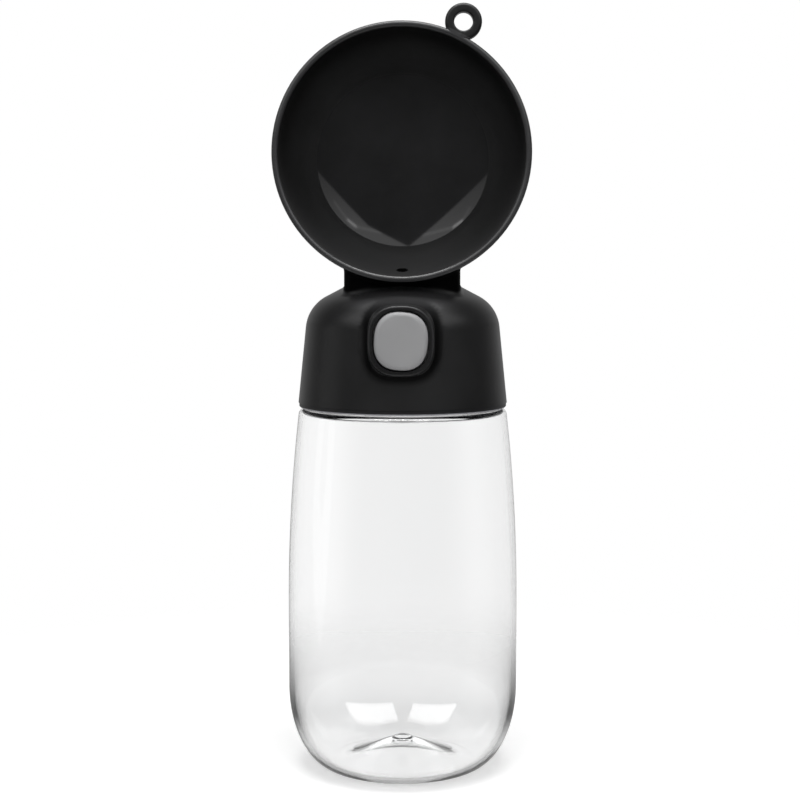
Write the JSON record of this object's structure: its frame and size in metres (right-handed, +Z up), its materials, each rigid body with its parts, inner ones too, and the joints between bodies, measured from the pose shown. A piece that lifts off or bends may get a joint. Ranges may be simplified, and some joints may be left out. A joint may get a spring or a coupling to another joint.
{
  "type": "dog travel water bottle",
  "caption": "Clear travel water bottle with a screw-on head: a drinking bowl filled through a spring-loaded push-button valve, with a lanyard ring.",
  "frame": {"origin": "centre of the ring that the bottle stands on", "axes": "+Z up along the bottle's axis, -Y towards the side that the bowl and the button face, +X to the right seen from there"},
  "size_m": [0.0776, 0.072, 0.2357],
  "materials": {
    "clear_plastic": "clear, glossy moulded plastic",
    "black_plastic": "satin black moulding",
    "grey_plastic": "satin grey moulding",
    "ivory_plastic": "natural acetal, smooth",
    "silicone": "translucent silicone",
    "steel": "bright spring steel"
  },
  "bodies": {
    "bottle": {"bottle": "clear_plastic"},
    "gasket": {"mouth_gasket": "silicone"},
    "head": {"screw_collar": "black_plastic", "cap_shell": "black_plastic", "valve_housing": "ivory_plastic", "rear_plug": "ivory_plastic", "rear_plug_oring": "silicone", "gland_bush": "ivory_plastic", "stem_oring": "silicone", "outlet_oring": "silicone", "return_spring": "steel"},
    "plunger": {"push_button": "grey_plastic", "valve_stem": "ivory_plastic", "stem_seal": "silicone", "seal_clip": "steel"}
  },
  "joints": [
    {"name": "cap_rise", "type": "slide", "parent": "bottle", "child": "gasket", "axis": [0, 0, 1], "range_m": [0, 0.005]},
    {"name": "cap_turn", "type": "hinge", "parent": "gasket", "child": "head", "pos_m": [0, 0, 0.1226], "axis": [0, 0, 1], "range_deg": [0, 450]},
    {"name": "button_press", "type": "slide", "parent": "head", "child": "plunger", "axis": [0, 1, 0], "range_m": [0, 0.003], "stiffness_N_per_m": 500, "springref_m": -0.004, "deforming": ["return_spring"]}
  ],
  "couplings": [
    {"joint": "cap_rise", "follows": "cap_turn", "m_per_rad": 0.0006366}
  ]
}
